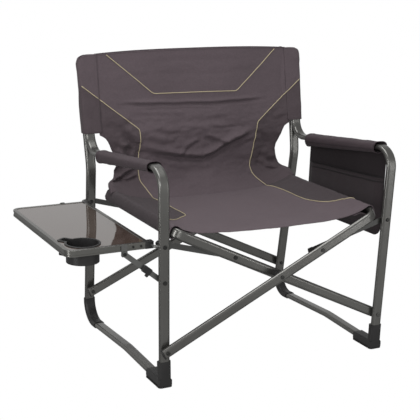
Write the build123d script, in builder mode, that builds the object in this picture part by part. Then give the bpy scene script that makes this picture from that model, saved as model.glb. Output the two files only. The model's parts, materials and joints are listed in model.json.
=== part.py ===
from build123d import *
from math import atan2, cos, degrees, hypot, radians, sin, tan
import os

os.makedirs("parts", exist_ok=True)

# A folding director chair with a side table, in millimetres.
# X runs across the chair (side table on -X), Y from front to back, Z up from the floor.
# Two rigid side frames are joined by two crossing U-frames, whose rails carry the sling.

# Place of the chair: its plane of symmetry and its front feet, seen from the origin,
# which lies on the floor under the middle of the whole object.
mid_x = 119.92
front_y = -288.3

# Flat-oval tubes
leg_wide, leg_thick = 32.0, 16.0
bar_wide, bar_thick = 30.0, 15.0
wall = 1.4
fit = 0.3                  # slack of a boot or plug on its tube

# Side frames: each lies in a plane that leans outwards by lean
foot_half_span = 356.5
lean = radians(1.36)
front_slope = -0.031       # the front leg comes forward as it rises
rear_slope = -0.125        # so does the rear leg, up to its kink
rear_leg_u, pivot_z = 580.0, 110.0
post_slope = 0.186         # the back post leans back
post_u, post_v = 531.0, 631.0
post_top = 852.0
brace_top = 720.0          # top of the rear leg, beside the post
arm_slope = -0.107
arm_u, arm_v = 30.0, 626.0
arm_bend, heel_bend, kink_bend = 56.0, 60.0, 150.0
foot_sole = 3.5            # thickness of the rubber under a front foot
post_gap = 0.6             # between the post and the rear leg behind it

# Crossing U-frames
open_angle = radians(25.8)
rail_x = 320.0
bar_end = 11.0             # how far each end runs on past its pivot
rail_bend = 30.0
link_reach = 149.3         # from the crossing to the link stud
link_z = 413.0

# Rivets and links
rivet_r, head_r, head_h = 4.0, 5.8, 2.0
spacer_r = 7.5
running = 0.06             # radial clearance of a turning joint
head_gap = 0.5             # between a rivet's head and what it holds
link_wide, link_thick = 16.0, 5.0

# Side table
table_in, table_out = 400.0, 636.0
table_front, table_back = 7.0, 500.0
table_z = 426.0
rim_h, rim_w = 19.0, 11.0
hinge_x, hinge_z = 394.0, 416.5
rod_r = 4.0
cup_x, cup_y, cup_r, cup_depth = 569.0, 68.0, 43.0, 50.0
brace_leg_z = 310.0
brace_table_x, brace_table_z = 474.0, 400.0
brace_lower, brace_thick, brace_wide = 68.0, 2.4, 15.0

# Heel guards, arm pads, sling and side pocket
guard_u, guard_top = 503.0, 78.0
guard_wide, guard_thick = 37.0, 21.0
pad_start, pad_length = 46.0, 384.0
pad_wide, pad_thick, pad_drop = 39.6, 29.6, 3.0
cloth = 2.4
seat_front_left, seat_front_right = 49.0, 5.0   # of its slanting front edge, 400 to each side
seat_back = 455.0
sag_points = [(311, 453.4), (250, 431.5), (160, 421.5), (0, 418)]
sleeve_low, sleeve_top = 634.0, 870.0
pocket_front, pocket_rear = 38.0, 456.0
pocket_low, hem_drop = 338.0, 88.0
outer_n, inner_n, pocket_wall = 20.4, 8.0, 2.0   # its layers, outwards of the side plane

SIDES = {"left": -1, "right": 1}


# ---------------------------------------------------------------- places and planes
def place(x, y, z):
    """A point given from the chair's plane of symmetry and front feet."""
    return Vector(mid_x + x, front_y + y, z)


def leg_x(z):
    """Distance of a side frame from the plane of symmetry at a height."""
    return foot_half_span + z * tan(lean)


def rear_leg_y(z):
    return rear_leg_u + rear_slope * (z - pivot_z)


def side_plane(side):
    """A side frame's plane: x backwards, y up the lean, z towards +X."""
    return Plane(
        origin=place(side * foot_half_span, 0, 0),
        x_dir=(0, 1, 0),
        z_dir=(cos(lean), 0, -side * sin(lean)),
    )


def lines_meet(p, slope_p, q, slope_q):
    """Where u = p.u + slope_p (v - p.v) meets v = q.v + slope_q (u - q.u)."""
    v = (q[1] + slope_q * (p[0] - slope_p * p[1] - q[0])) / (1 - slope_q * slope_p)
    return p[0] + slope_p * (v - p[1]), v


def along_y(x, y, z):
    """A location whose Z axis runs along the chair, from front to back."""
    return Location(place(x, y, z), (-90, 0, 0))


pivot_x = leg_x(pivot_z)
half_bar = pivot_x / cos(open_angle)             # lower pivot to crossing
rail_reach = half_bar + rail_x / cos(open_angle)  # lower pivot to seat rail
cross_z = pivot_z + pivot_x * tan(open_angle)

front_corner = lines_meet((0, 0), front_slope, (arm_u, arm_v), arm_slope)
back_corner = lines_meet((post_u, post_v), post_slope, (arm_u, arm_v), arm_slope)
post_step = (leg_thick + post_gap) * hypot(1, post_slope)
leg_kink_v = (rear_leg_u - rear_slope * pivot_z - post_u - post_step + post_slope * post_v) / (
    post_slope - rear_slope
)
leg_kink = (rear_leg_y(leg_kink_v), leg_kink_v)

# The tubes' centre lines in the side plane
arm_route = [
    (front_slope * 6, 6),
    front_corner,
    back_corner,
    (post_u + post_slope * (post_top - post_v), post_top),
]
leg_route = [
    (9.5, 12.8),
    (262, 22),
    (592.8, 6.8),
    leg_kink,
    (post_u + post_step + post_slope * (brace_top - post_v), brace_top),
]

# Where the U-frames run, front to back.  The frame that pivots on the left legs passes in
# front of them, and the other passes behind the right legs.
U_FRAMES = {
    "left": {"front": -24.0, "rear": 553.0, "top": 511.0},
    "right": {"front": 13.3, "rear": 600.2, "top": 530.0},
}


def bar_y(pivot_side, end, reach):
    """Centre of a U-frame's front or rear bar, at a distance from its lower pivot."""
    route = U_FRAMES[pivot_side]
    if end == "front":
        return route["front"]
    return route["rear"] + (route["top"] - route["rear"]) * reach / rail_reach


def bar_point(pivot_side, reach):
    """X and Z on a U-frame's bars, at a distance from its lower pivot."""
    side = SIDES[pivot_side]
    return (
        side * (pivot_x - reach * cos(open_angle)),
        pivot_z + reach * sin(open_angle),
    )


def leg_face_y(end, z, front):
    """Front or back face of a front or rear leg at a height."""
    if end == "front":
        centre, slope = front_slope * z, front_slope
    else:
        centre, slope = rear_leg_y(z), rear_slope
    half = leg_thick / 2 * hypot(1, slope)
    return centre - half if front else centre + half


# ---------------------------------------------------------------- building helpers
def flat_bar(plane, corners, radii, wide, thick, inside=None):
    """A flat-oval sweep, its wide side standing across the plane of its bends.

    inside is the (wide, thick) of its hollow, if it has one."""
    with BuildPart() as bar:
        with BuildLine(plane) as route:
            FilletPolyline(*corners, radius=radii)
        start = route.wire()
        with BuildSketch(Plane(origin=start @ 0, x_dir=plane.z_dir, z_dir=start % 0)):
            SlotOverall(wide, thick)
            if inside:
                SlotOverall(*inside, mode=Mode.SUBTRACT)
        sweep()
    return bar


def flat_tube(plane, corners, radii, wide, thick):
    """A bent flat-oval tube of the chair's frame."""
    hollow = (wide - 2 * wall, thick - 2 * wall)
    return flat_bar(plane, corners, radii, wide, thick, hollow)


def drill(spots, radius):
    """Holes along Y through the part being built; a spot is (x, y, z)."""
    with Locations(*[along_y(*spot) for spot in spots]):
        Cylinder(radius, 60, mode=Mode.SUBTRACT)


def rivets(pins, front_head=True, back_head=True):
    """Rivets along Y; a pin is (x, z, front end of its grip, back end of its grip)."""
    with BuildPart() as group:
        for x, z, y0, y1 in pins:
            with Locations(along_y(x, (y0 + y1) / 2, z)):
                Cylinder(rivet_r, y1 - y0)
            ends = [(y0 - head_h / 2, -1)] * front_head + [(y1 + head_h / 2, 1)] * back_head
            for y, outward in ends:
                with Locations(along_y(x, y, z)):
                    head = Cylinder(head_r, head_h, mode=Mode.PRIVATE)
                rim = head.edges().sort_by(Axis.Y)[-1 if outward > 0 else 0]
                add(head.fillet(1.3, [rim]))
    return group


def spacers(tubes, bore):
    """Spacer tubes along Y; a tube is (x, z, front, back)."""
    with BuildPart() as group:
        for x, z, y0, y1 in tubes:
            with Locations(along_y(x, (y0 + y1) / 2, z)):
                Cylinder(spacer_r, y1 - y0)
                Cylinder(bore, y1 - y0, mode=Mode.SUBTRACT)
    return group


def finish(piece, name):
    """Label a finished piece and write its STEP."""
    piece.part.label = name
    export_step(piece.part, f"parts/{name}.step")


# ---------------------------------------------------------------- joints: where rivets sit
link_x = leg_x(link_z)
stud_reach = half_bar + link_reach
LINK_Y = {  # front face of each link
    ("left", "front"): 21.4,
    ("left", "rear"): 562.4,
    ("right", "front"): -4.0,
    ("right", "rear"): 552.2,
}


def pivot_pins(side):
    """Grips of the two lower pivots of a side frame: through leg and U-frame."""
    pins = []
    for end in ("front", "rear"):
        bar = bar_y(side, end, 0)
        if side == "left":
            grip = (bar - bar_thick / 2 - head_gap - 0.4, leg_face_y(end, pivot_z, False) + 1.0)
        else:
            grip = (leg_face_y(end, pivot_z, True) - 1.0, bar + bar_thick / 2 + head_gap + 0.8)
        pins.append((SIDES[side] * pivot_x, pivot_z, *grip))
    return pins


def link_pins(side):
    """Grips of the two link pivots of a side frame: through leg and link."""
    pins = []
    for end in ("front", "rear"):
        back = LINK_Y[side, end] + link_thick + head_gap
        front = leg_face_y(end, link_z, True) - 1.0
        pins.append((SIDES[side] * link_x, link_z, front, back))
    return pins


crossing_pins = []
for end in ("front", "rear"):
    first = bar_y("left", end, half_bar) - bar_thick / 2 - 0.6
    last = bar_y("right", end, half_bar) + bar_thick / 2 + 1.2
    crossing_pins.append((0, cross_z, first, last))


# ---------------------------------------------------------------- side frames
post_tilt = atan2(post_slope, 1)


def post_plane(side, v, t=0.0):
    """Across the back post at a height: x across the chair, y backwards, z up the post."""
    plane = side_plane(side)
    u = post_u + post_slope * (v - post_v)
    up = plane.from_local_coords(Vector(sin(post_tilt), cos(post_tilt), 0)) - plane.origin
    here = Plane(origin=plane.from_local_coords(Vector(u, v, 0)), x_dir=plane.z_dir, z_dir=up)
    return Plane(origin=here.from_local_coords(Vector(0, t, 0)), x_dir=here.x_dir, z_dir=up)


def hinge_rods():
    """Bent rods from the left legs into the table's corner blocks, its hinge."""
    with BuildPart() as rods:
        for y, end in ((front_slope * hinge_z, table_front + 20), (rear_leg_y(hinge_z), table_back - 20)):
            with BuildLine() as route:
                FilletPolyline(
                    place(-(link_x + 8), y, hinge_z),
                    place(-hinge_x, y, hinge_z),
                    place(-hinge_x, end, hinge_z),
                    radius=9,
                )
            with BuildSketch(Plane(origin=route.wire() @ 0, z_dir=route.wire() % 0)):
                Circle(rod_r)
            sweep()
    return rods


table_rods = hinge_rods()
finish(table_rods, "table_hinge_rods")

for name, side in SIDES.items():
    plane = side_plane(side)
    pins = pivot_pins(name) + link_pins(name)
    front_spots = [(x, front_slope * z, z) for x, z, _, _ in pins[::2]]
    rear_spots = [(x, rear_leg_y(z), z) for x, z, _, _ in pins[1::2]]
    if name == "left":
        front_spots.append((-leg_x(brace_leg_z), front_slope * brace_leg_z, brace_leg_z))
        rear_spots.append((-leg_x(brace_leg_z), rear_leg_y(brace_leg_z), brace_leg_z))

    # Two rivets tie the rear leg to the back post above its kink
    with BuildPart() as post_rivets:
        for v in (664, 704):
            grip = 2 * leg_thick + post_gap
            middle = post_plane(side, v, (leg_thick + post_gap) / 2)
            with BuildSketch(Plane(origin=middle.origin, z_dir=middle.y_dir)):
                Circle(2.5)
            extrude(amount=grip / 2, both=True)
            for outward in (1, -1):
                face = Plane(
                    origin=middle.from_local_coords(Vector(0, outward * (grip / 2 + 0.1), 0)),
                    z_dir=middle.y_dir * outward,
                )
                with BuildSketch(face):
                    Circle(4.5)
                extrude(amount=1.1)

    # Front leg, armrest and back post are one bent tube
    arm_bends = [arm_bend, heel_bend]
    arm_bare = flat_tube(plane, arm_route, arm_bends, leg_wide, leg_thick)
    with BuildPart() as arm_tube:
        add(arm_bare.part)
        drill(front_spots, rivet_r)
        add(post_rivets.part, mode=Mode.SUBTRACT)
        if name == "left":
            add(table_rods.part, mode=Mode.SUBTRACT)
    # Floor rail and rear leg are another
    leg_bends = [kink_bend, heel_bend, kink_bend]
    leg_bare = flat_tube(plane, leg_route, leg_bends, leg_wide, leg_thick)
    with BuildPart() as leg_tube:
        add(leg_bare.part)
        drill(rear_spots, rivet_r)
        add(post_rivets.part, mode=Mode.SUBTRACT)
        if name == "left":
            add(table_rods.part, mode=Mode.SUBTRACT)
    finish(arm_tube, f"arm_tube_{name}")
    finish(leg_tube, f"rear_leg_tube_{name}")
    finish(post_rivets, f"post_rivets_{name}")
    finish(rivets(pins), f"pivot_rivets_{name}")

    # The moulded front foot holds the ends of both tubes
    arm_core = flat_bar(plane, arm_route, arm_bends, leg_wide + fit, leg_thick + fit)
    leg_core = flat_bar(plane, leg_route, leg_bends, leg_wide + fit, leg_thick + fit)
    low = plane.from_local_coords(Vector(0, 0, 0))
    with BuildPart() as foot:
        with BuildSketch(Plane(origin=low, x_dir=plane.z_dir, z_dir=plane.y_dir)):
            RectangleRounded(38.5, 22.5, 9)
        extrude(amount=76)
        with BuildSketch(Plane(origin=low - Vector(0, 11.25, 0), x_dir=(1, 0, 0), z_dir=(0, 1, 0))):
            with Locations((0, -13)):
                RectangleRounded(38.5, 25, 7)
        extrude(amount=95)
        with BuildSketch(Plane(origin=place(side * foot_half_span, 0, -20))):
            Rectangle(200, 400)
        extrude(amount=20 + foot_sole, mode=Mode.SUBTRACT)
        add(arm_core.part, mode=Mode.SUBTRACT)
        add(leg_core.part, mode=Mode.SUBTRACT)
    finish(foot, f"front_foot_{name}")
    with BuildPart() as sole:
        with BuildSketch(Plane(origin=place(side * foot_half_span, 36.5, 0))):
            RectangleRounded(42, 100, 9)
        extrude(amount=foot_sole)
        chamfer(sole.edges().group_by(Axis.Z)[-1], 0.8)
    finish(sole, f"foot_sole_{name}")

    # The heel guard is moulded round the rear bend and stands on the floor
    floor_slope = (leg_route[2][1] - leg_route[1][1]) / (leg_route[2][0] - leg_route[1][0])
    guard_start = (guard_u, leg_route[2][1] + floor_slope * (guard_u - leg_route[2][0]))
    guard_route = [guard_start, leg_route[2], (rear_leg_y(guard_top), guard_top)]
    guard_core = (leg_wide + fit, leg_thick + fit)
    guard_bare = flat_bar(plane, guard_route, heel_bend, guard_wide, guard_thick, guard_core)
    with BuildPart() as guard:
        add(guard_bare.part)
        split(bisect_by=Plane.XY, keep=Keep.TOP)
    finish(guard, f"heel_guard_{name}")

    # A plug closes the top of the back post
    with BuildPart() as cap:
        with BuildSketch(post_plane(side, post_top)):
            SlotOverall(leg_wide + 1, leg_thick + 1)
        extrude(amount=2.5)
        with BuildSketch(post_plane(side, post_top)):
            SlotOverall(leg_wide - 2 * wall - fit, leg_thick - 2 * wall - fit)
        extrude(amount=-14)
    finish(cap, f"post_cap_{name}")

    # The padded sleeve on the armrest
    arm_tilt = atan2(arm_slope, 1)
    pad_v = arm_v + arm_slope * (pad_start - arm_u)
    along = plane.from_local_coords(Vector(cos(arm_tilt), sin(arm_tilt), 0)) - plane.origin
    pad_base = plane.from_local_coords(Vector(pad_start, pad_v, 0))
    with BuildPart() as pad:
        with BuildSketch(Plane(origin=pad_base, x_dir=plane.z_dir, z_dir=along)):
            with Locations((0, pad_drop)):
                RectangleRounded(pad_wide, pad_thick, 11.7)
            SlotOverall(leg_wide + 0.8, leg_thick + 0.8, mode=Mode.SUBTRACT)
        extrude(amount=pad_length)
    finish(pad, f"arm_pad_{name}")


# ---------------------------------------------------------------- crossing U-frames
def u_plane(pivot_side):
    """A U-frame's plane: x up its bars from the lower pivot, y backwards."""
    side = SIDES[pivot_side]
    return Plane(
        origin=place(side * pivot_x, 0, pivot_z),
        x_dir=(-side * cos(open_angle), 0, sin(open_angle)),
        z_dir=(-sin(open_angle), 0, -side * cos(open_angle)),
    )


for name, side in SIDES.items():
    plane = u_plane(name)
    route = U_FRAMES[name]
    corners = [
        (-bar_end, route["front"]),
        (rail_reach, route["front"]),
        (rail_reach, route["top"]),
        (-bar_end, bar_y(name, "rear", -bar_end)),
    ]
    bare = flat_tube(plane, corners, rail_bend, bar_wide, bar_thick)
    ends = ("front", "rear")
    pivots = [(*bar_point(name, 0), bar_y(name, end, 0)) for end in ends]
    crossings = [(0, cross_z, bar_y(name, end, half_bar)) for end in ends]
    studs = [(*bar_point(name, stud_reach), bar_y(name, end, stud_reach)) for end in ends]
    with BuildPart() as tube:
        add(bare.part)
        drill([(x, y, z) for x, z, y in pivots], rivet_r + running)
        drill([(x, y, z) for x, z, y in crossings], rivet_r + (running if name == "right" else 0))
        drill([(x, y, z) for x, z, y in studs], rivet_r)
    finish(tube, f"seat_frame_{name}_pivot")

    # Plugs in the tube's two open ends
    rear_lean = (route["top"] - route["rear"]) / rail_reach
    with BuildPart() as plugs:
        for corner, slope in ((corners[0], 0), (corners[3], rear_lean)):
            at_end = plane.from_local_coords(Vector(*corner, 0))
            up = plane.from_local_coords(Vector(corner[0] + 1, corner[1] + slope, 0)) - at_end
            with BuildSketch(Plane(origin=at_end, x_dir=plane.z_dir, z_dir=up)):
                SlotOverall(bar_wide - 2 * wall - fit, bar_thick - 2 * wall - fit)
            extrude(amount=4.5)
            with BuildSketch(Plane(origin=at_end, x_dir=plane.z_dir, z_dir=up)):
                SlotOverall(bar_wide + 0.6, bar_thick + 0.6)
            extrude(amount=-2.5)
    finish(plugs, f"bar_end_plugs_{name}_pivot")

# The crossing turns on two rivets with a spacer on each
finish(rivets(crossing_pins), "crossing_rivets")
crossing_tubes = []
for end, slack in (("front", 0.3), ("rear", 1.7)):
    first = bar_y("left", end, half_bar) + bar_thick / 2
    last = bar_y("right", end, half_bar) - bar_thick / 2
    crossing_tubes.append((0, cross_z, first + slack, last - slack))
finish(spacers(crossing_tubes, rivet_r), "crossing_spacers")


# ---------------------------------------------------------------- stabiliser links
# Each link turns on its own leg and is studded to the bar of the opposite U-frame.
for name, side in SIDES.items():
    bar_side = "right" if name == "left" else "left"
    stud_x, stud_z = bar_point(bar_side, stud_reach)
    with BuildPart() as studs:
        for end in ("front", "rear"):
            bar = bar_y(bar_side, end, stud_reach)
            near = LINK_Y[name, end] - 0.5
            front = bar - bar_thick / 2 - 0.7
            with Locations(along_y(stud_x, (front + near) / 2, stud_z)):
                Cylinder(rivet_r, near - front)
            with Locations(along_y(stud_x, front - head_h / 2, stud_z)):
                Cylinder(head_r, head_h)
            collar = bar + bar_thick / 2 + 0.8
            if near - collar > 2:
                with Locations(along_y(stud_x, (collar + near) / 2, stud_z)):
                    Cylinder(spacer_r, near - collar)
    finish(studs, f"link_studs_{bar_side}_pivot")

    run_x, run_z = stud_x - side * link_x, stud_z - link_z
    reach = hypot(run_x, run_z)
    tail = 28.0
    with BuildPart() as links:
        for end in ("front", "rear"):
            base = Plane(
                origin=place(side * link_x, LINK_Y[name, end], link_z),
                x_dir=(run_x, 0, run_z),
                z_dir=(0, 1, 0),
            )
            with BuildSketch(base):
                with Locations((reach / 2 + tail / 2, 0)):
                    Rectangle(reach + tail, link_wide)
                Circle(link_wide / 2)
                Circle(rivet_r + running, mode=Mode.SUBTRACT)
                with Locations((reach, 0)):
                    Circle(rivet_r, mode=Mode.SUBTRACT)
            extrude(amount=link_thick)
    finish(links, f"links_{name}")
    with BuildPart() as caps:
        for end in ("front", "rear"):
            middle = LINK_Y[name, end] + link_thick / 2
            base = Plane(
                origin=place(side * link_x, middle, link_z),
                x_dir=(run_x, 0, run_z),
                z_dir=(0, 1, 0),
            )
            with BuildSketch(base):
                with Locations((reach + tail - 5, 0)):
                    RectangleRounded(18, link_wide + 2, 3)
            extrude(amount=link_thick / 2 + 0.45, both=True)
        add(links.part, mode=Mode.SUBTRACT)
    finish(caps, f"link_end_caps_{name}")
    # Each link's half of the stud, behind it
    buttons = [
        (stud_x, stud_z, LINK_Y[name, end] + 0.1, LINK_Y[name, end] + link_thick + 0.1)
        for end in ("front", "rear")
    ]
    finish(rivets(buttons, front_head=False), f"link_buttons_{name}")

# The left links stand behind their legs on spacers
stand_offs = []
for end, slack in (("front", 0.8), ("rear", 1.4)):
    leg_back = leg_face_y(end, link_z, False)
    stand_offs.append((-link_x, link_z, leg_back + slack, LINK_Y["left", end] - 0.3))
finish(spacers(stand_offs, rivet_r), "link_spacers_left")


# ---------------------------------------------------------------- side table
table_x = -(table_in + table_out) / 2
table_y = (table_front + table_back) / 2
table_w, table_d = table_out - table_in, table_back - table_front
panel_top = table_z - 1.2


def table_outline(inset):
    """The tabletop's outline, drawn in by inset: only its outer corners are round."""
    with BuildSketch(Plane(origin=place(table_x, table_y, 0)), mode=Mode.PRIVATE) as outline:
        Rectangle(table_w - 2 * inset, table_d - 2 * inset)
        fillet(outline.vertices().group_by(Axis.X)[0], 26 - inset)
    return outline


with BuildPart() as block_space:
    for y in (table_front + 10.3, table_back - 10.3):
        with BuildSketch(Plane(origin=place(-399.5, y, table_z - rim_h - 1))):
            Rectangle(25.4, 22.4)
        extrude(amount=rim_h + 2)

with BuildPart() as table_rim:
    with BuildSketch(Plane(origin=place(table_x, table_y, table_z - rim_h))) as outline:
        Rectangle(table_w, table_d)
        fillet(outline.vertices().group_by(Axis.X)[0], 26)
        with BuildSketch(mode=Mode.SUBTRACT) as opening:
            Rectangle(table_w - 2 * rim_w, table_d - 2 * rim_w)
            fillet(opening.vertices().group_by(Axis.X)[0], 26 - rim_w)
    extrude(amount=rim_h)
    long_edges = table_rim.faces().filter_by(Axis.Z).edges().filter_by(lambda e: e.length > 20)
    fillet(long_edges, 1.0)
    with BuildSketch(Plane(origin=place(table_x, table_y, panel_top - 6.1))) as groove:
        Rectangle(table_w - 5, table_d - 5)
        fillet(groove.vertices().group_by(Axis.X)[0], 23.5)
    extrude(amount=6.2, mode=Mode.SUBTRACT)
    # A shallow channel runs round the rim's outer face
    with BuildSketch(Plane(origin=place(table_x, table_y, table_z - 14))) as channel:
        Rectangle(table_w + 10, table_d + 10)
        with BuildSketch(mode=Mode.SUBTRACT) as core:
            Rectangle(table_w - 2.4, table_d - 2.4)
            fillet(core.vertices().group_by(Axis.X)[0], 24.8)
    extrude(amount=9, mode=Mode.SUBTRACT)
    add(block_space.part, mode=Mode.SUBTRACT)
finish(table_rim, "table_rim")

notch_angle = 126
notch = Rot(0, 0, notch_angle)
with BuildPart() as cup_holder:
    cup_plane = Plane(origin=place(-cup_x, cup_y, panel_top))
    with BuildSketch(cup_plane):
        Circle(49.0)
        with Locations(notch * Pos(56, 0)):
            RectangleRounded(36, 36, 8)
    extrude(amount=2.2)
    with BuildSketch(cup_plane):
        Circle(cup_r + 2.2)
    extrude(amount=2.2 - cup_depth - 2.4)
    with BuildSketch(cup_plane):
        with Locations(notch * Pos(54, 0)):
            RectangleRounded(32, 28, 4)
    extrude(amount=2.2 - 42)
    with BuildSketch(cup_plane.offset(2.2)):
        Circle(cup_r)
    extrude(amount=-cup_depth, mode=Mode.SUBTRACT)
    with BuildSketch(cup_plane.offset(2.2)):
        with Locations(notch * Pos(51.8, 0)):
            RectangleRounded(32, 23.6, 3)
    extrude(amount=-40, mode=Mode.SUBTRACT)
finish(cup_holder, "cup_holder")

with BuildPart() as table_top:
    with BuildSketch(Plane(origin=place(table_x, table_y, panel_top - 6))) as sheet:
        Rectangle(table_w - 5.4, table_d - 5.4)
        fillet(sheet.vertices().group_by(Axis.X)[0], 23.3)
    extrude(amount=6)
    with BuildSketch(cup_plane):
        Circle(cup_r + 2.6)
        with Locations(notch * Pos(54, 0)):
            RectangleRounded(32.8, 28.8, 4.2)
    extrude(amount=-10, mode=Mode.SUBTRACT)
    add(block_space.part, mode=Mode.SUBTRACT)
finish(table_top, "table_top")

with BuildPart() as corner_blocks:
    for y in (table_front + 10.3, table_back - 10.3):
        with BuildSketch(Plane(origin=place(-399.5, y, table_z - rim_h - 0.2))):
            RectangleRounded(25, 22, 2.5)
        extrude(amount=rim_h + 0.6)
        with Locations(along_y(-hinge_x, y, hinge_z)):
            Cylinder(rod_r + running, 40, mode=Mode.SUBTRACT)
finish(corner_blocks, "table_hinge_blocks")

table_middle = Plane.XZ.offset(-(front_y + table_y))
with BuildPart() as table_rivets:
    for x in (424, 447):
        with Locations(along_y(-x, table_front + 0.3, table_z - 9.5)):
            Cylinder(3.2, 1.6)
    mirror(about=table_middle)
finish(table_rivets, "table_rivets")


# ---------------------------------------------------------------- folding braces
brace_x = leg_x(brace_leg_z)
run_x, run_z = brace_x - brace_table_x, brace_table_z - brace_leg_z
brace_reach = hypot(run_x, run_z)
lower_y, upper_y = -1.1, 1.8       # front faces of the front brace's bars


def brace_plane(y):
    """From the leg pivot towards the table bracket: x along the brace, z backwards."""
    return Plane(
        origin=place(-brace_x, y, brace_leg_z), x_dir=(run_x, 0, run_z), z_dir=(0, 1, 0)
    )


with BuildPart() as brace_lower_bars:
    with BuildSketch(brace_plane(lower_y)):
        with Locations((brace_lower / 2, 0)):
            SlotOverall(brace_lower + brace_wide, brace_wide)
        Circle(rivet_r + running, mode=Mode.SUBTRACT)
    extrude(amount=brace_thick)
    mirror(about=table_middle)
finish(brace_lower_bars, "brace_lower_bars")

with BuildPart() as brace_upper_bars:
    with BuildSketch(brace_plane(upper_y)):
        with Locations(((brace_lower + brace_reach) / 2, 0)):
            SlotOverall(brace_reach - brace_lower + brace_wide, brace_wide)
        with Locations((brace_reach, 0)):
            Circle(3 + running, mode=Mode.SUBTRACT)
    extrude(amount=brace_thick)
    mirror(about=table_middle)
finish(brace_upper_bars, "brace_upper_bars")

with BuildPart() as brace_locks:
    with BuildSketch(brace_plane(lower_y - 0.1)):
        with Locations((brace_lower - 6, 0)):
            RectangleRounded(30, 20, 4)
        with Locations((brace_lower - 14, -10)):
            RectangleRounded(10, 12, 3)
    extrude(amount=-4)
    fillet(brace_locks.faces().sort_by(Axis.Y)[0].edges(), 1)
    mirror(about=table_middle)
finish(brace_locks, "brace_locks")

with BuildPart() as brace_brackets:
    face = place(-brace_table_x, upper_y + brace_thick + 0.4, 0)
    with BuildSketch(Plane(origin=face, x_dir=(1, 0, 0), z_dir=(0, -1, 0))):
        with Locations((0, brace_table_z + 10)):
            RectangleRounded(18, 36, 5)
        with Locations((0, brace_table_z)):
            Circle(3, mode=Mode.SUBTRACT)
    extrude(amount=-2.3)
    mirror(about=table_middle)
finish(brace_brackets, "brace_brackets")

with BuildPart() as bracket_pins:
    with Locations(along_y(-brace_table_x, upper_y + 2.35, brace_table_z)):
        Cylinder(3, 5.3)
    with Locations(along_y(-brace_table_x, upper_y - 0.8, brace_table_z)):
        Cylinder(5, 1)
    mirror(about=table_middle)
finish(bracket_pins, "bracket_pins")

# The leg pivots: a rivet through the front leg, and a longer one that reaches forward
# from the rear leg to the brace at the table's back edge.
back_bar = 2 * table_y - lower_y - brace_thick
with BuildPart() as brace_leg_pins:
    front_face = leg_face_y("front", brace_leg_z, True) - 0.6
    rear_face = leg_face_y("rear", brace_leg_z, False) + 1.0
    for y0, y1 in ((front_face, lower_y + brace_thick + 0.2), (back_bar - 0.2, rear_face)):
        with Locations(along_y(-brace_x, (y0 + y1) / 2, brace_leg_z)):
            Cylinder(rivet_r, y1 - y0)
        for y in (y0 - 0.6, y1 + 0.6):
            with Locations(along_y(-brace_x, y, brace_leg_z)):
                Cylinder(6, 1.2)
finish(brace_leg_pins, "brace_leg_pins")
leg_front = leg_face_y("rear", brace_leg_z, True)
brace_tube = (-brace_x, brace_leg_z, back_bar + brace_thick + 0.4, leg_front - 1.2)
finish(spacers([brace_tube], rivet_r), "brace_spacer")


# ---------------------------------------------------------------- sling and side pocket
rail_z = pivot_z + rail_reach * sin(open_angle)
front_view = Plane(origin=place(0, 0, 0), x_dir=(1, 0, 0), z_dir=(0, -1, 0))
upper_line = [(-x, z) for x, z in sag_points[:-1]] + [(x, z) for x, z in sag_points[::-1]]
lower_line = [(x, z - cloth) for x, z in upper_line]
rail_turn = 90 - degrees(open_angle)

with BuildPart() as sling_seat:
    with BuildSketch(front_view) as seat_section:
        with BuildLine():
            Spline(*upper_line)
            Spline(*lower_line)
            Line(upper_line[0], lower_line[0])
            Line(upper_line[-1], lower_line[-1])
        make_face()
        for x, turn in ((rail_x, -rail_turn), (-rail_x, rail_turn)):
            with Locations((x, rail_z)):
                SlotOverall(bar_wide + 5.4, bar_thick + 5.4, rotation=turn)
                SlotOverall(bar_wide + 0.6, bar_thick + 0.6, rotation=turn, mode=Mode.SUBTRACT)
    extrude(amount=-seat_back)
    with BuildSketch(Plane(origin=place(0, 0, 300))):
        with BuildLine():
            Polyline(
                (-400, seat_front_left),
                (400, seat_front_right),
                (400, 600),
                (-400, 600),
                close=True,
            )
        make_face()
    extrude(amount=300, mode=Mode.INTERSECT)
finish(sling_seat, "sling_seat")

# The back: a cloth panel between two sleeves that slip over the posts
face_t = -(leg_thick / 2 + 1.6)        # inner face of a sleeve's front, from the post's centre
back_t = leg_thick / 2 + leg_thick + post_gap + 2.2
back_line = [(458, 421.5), (482, 437), (506, 464), (520, 498), (525, 540), (519.5, 590)]
panel_low = post_u + post_slope * (sleeve_low - post_v) + (face_t - cloth / 2) * 1.017
panel_high = panel_low + post_slope * (sleeve_top + 7 - sleeve_low)
back_line += [(panel_low, sleeve_low), (panel_high, sleeve_top + 7)]
back_edge = [
    (280, 400), (284, 460), (288, 500), (292, 538), (304, 575), (316, 602), (333, 620),
    (352, 630), (371, sleeve_low), (376, sleeve_top), (330, sleeve_top + 5), (150, 880),
]
side_view = Plane(origin=place(-420, 0, 0), x_dir=(0, 1, 0), z_dir=(1, 0, 0))
with BuildPart() as sling_back:
    with BuildSketch(side_view):
        with BuildLine() as middle_line:
            Spline(*back_line[:-1], tangents=[(1, 0.5), (post_slope, 1)])
            Line(back_line[-2], back_line[-1])
        trace(line_width=cloth)
    extrude(amount=840)
    with BuildSketch(front_view):
        with BuildLine():
            Polyline(*back_edge, *[(-x, z) for x, z in back_edge[::-1]], close=True)
        make_face()
    extrude(amount=-800, mode=Mode.INTERSECT)
    for side in SIDES.values():
        base = post_plane(side, sleeve_low, (face_t + back_t) / 2)
        length = (sleeve_top - sleeve_low) / cos(post_tilt)
        with BuildSketch(base):
            RectangleRounded(leg_wide + 1.2 + 2 * cloth, back_t - face_t + 2 * cloth, 8)
        extrude(amount=length)
        with BuildSketch(base.offset(-30)):
            RectangleRounded(leg_wide + 1.2, back_t - face_t, 6)
        extrude(amount=length + 30 - cloth, mode=Mode.SUBTRACT)
finish(sling_back, "sling_back")

# The pocket hangs from the right armrest's sleeve, between the legs
right = side_plane(1)


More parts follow.
